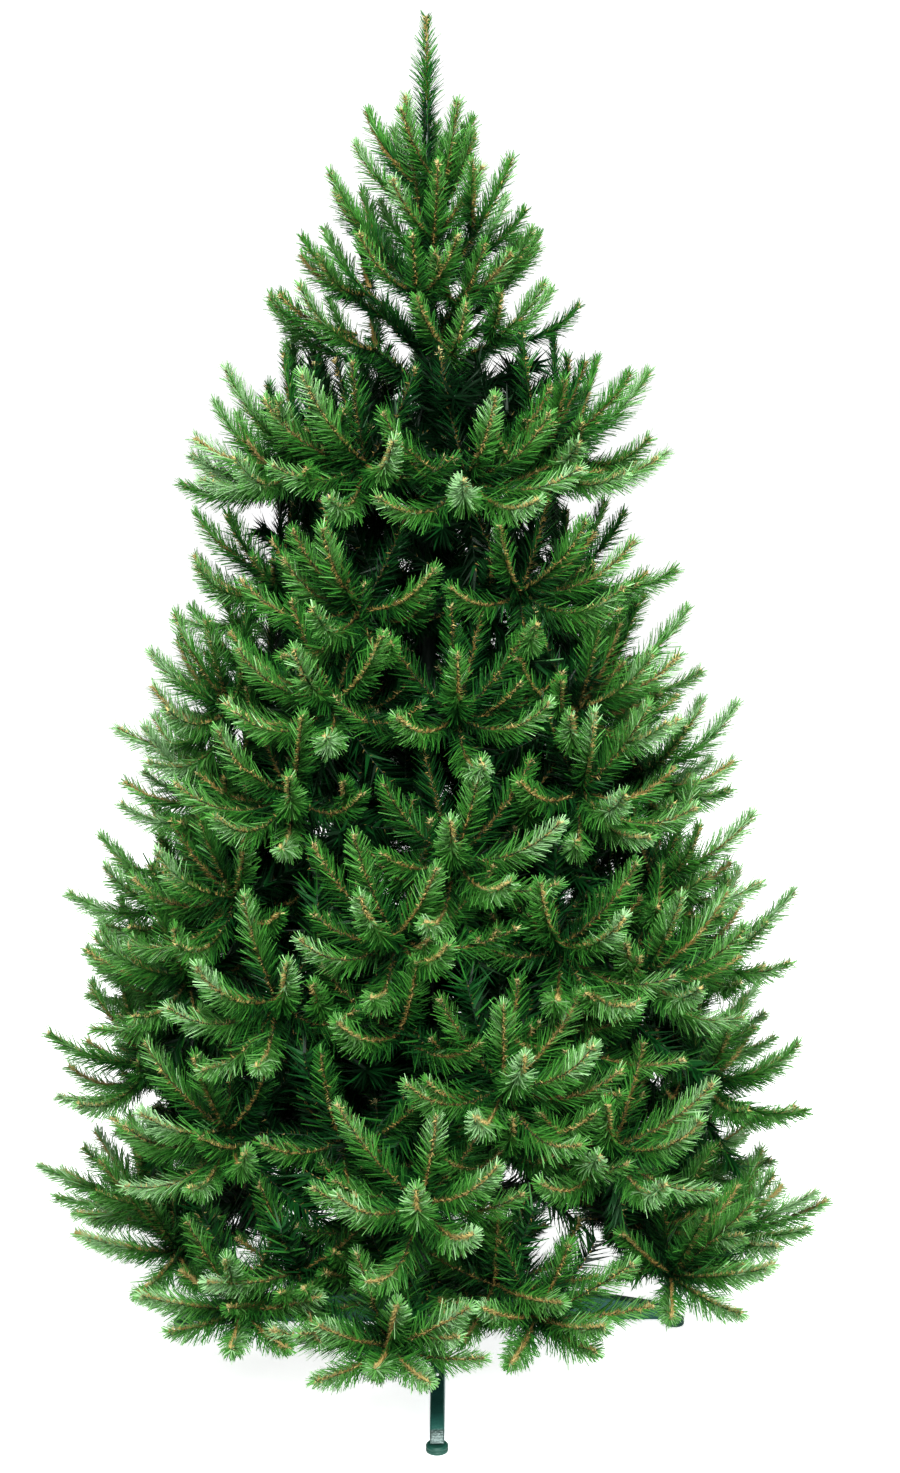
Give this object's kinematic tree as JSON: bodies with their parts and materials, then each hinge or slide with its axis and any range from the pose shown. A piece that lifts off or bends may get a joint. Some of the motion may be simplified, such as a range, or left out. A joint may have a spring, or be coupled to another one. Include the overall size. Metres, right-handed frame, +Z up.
{
  "type": "artificial spruce tree",
  "caption": "Tall artificial spruce with tiers of wire boughs that end in stars of green needle tufts, on a pole in a four-legged steel stand.",
  "frame": {"origin": "on the floor, under the middle of the pole, which is also the middle of the crown's box", "axes": "+Z up along the pole, -Y towards the front, where the tree was looked at from, +X to the right"},
  "size_m": [1.1426, 1.1012, 1.8],
  "materials": {
    "needles": "satin green PVC needles in several shades with short tan fibres along each spine",
    "wire": "dark green wrapped wire",
    "pole": "dark green painted steel tube",
    "stand": "blue-green hammered paint, semi-gloss",
    "feet": "dark green moulded plastic, satin",
    "screw": "black moulded grip"
  },
  "bodies": {
    "root": {"trunk": "pole", "socket": "stand", "clamp_screw": "screw", "leg_front": "stand", "foot_front": "feet", "leg_right": "stand", "foot_right": "feet", "leg_back": "stand", "foot_back": "feet", "leg_left": "stand", "foot_left": "feet", "bough_1a": "wire", "foliage_1a": "needles", "bough_1b": "wire", "foliage_1b": "needles", "bough_1c": "wire", "foliage_1c": "needles", "bough_1d": "wire", "foliage_1d": "needles", "bough_2a": "wire", "foliage_2a": "needles", "bough_2b": "wire", "foliage_2b": "needles", "bough_2c": "wire", "foliage_2c": "needles", "bough_3a": "wire", "foliage_3a": "needles", "bough_3b": "wire", "foliage_3b": "needles", "bough_3c": "wire", "foliage_3c": "needles", "bough_4a": "wire", "foliage_4a": "needles", "bough_4b": "wire", "foliage_4b": "needles", "bough_4c": "wire", "foliage_4c": "needles", "bough_5a": "wire", "foliage_5a": "needles", "bough_5b": "wire", "foliage_5b": "needles", "bough_5c": "wire", "foliage_5c": "needles", "bough_6a": "wire", "foliage_6a": "needles", "bough_6b": "wire", "foliage_6b": "needles", "bough_6c": "wire", "foliage_6c": "needles", "bough_7a": "wire", "foliage_7a": "needles", "bough_7b": "wire", "foliage_7b": "needles", "bough_8a": "wire", "foliage_8a": "needles", "bough_8b": "wire", "foliage_8b": "needles", "bough_8c": "wire", "foliage_8c": "needles", "foliage_top": "needles"}
  },
  "joints": []
}
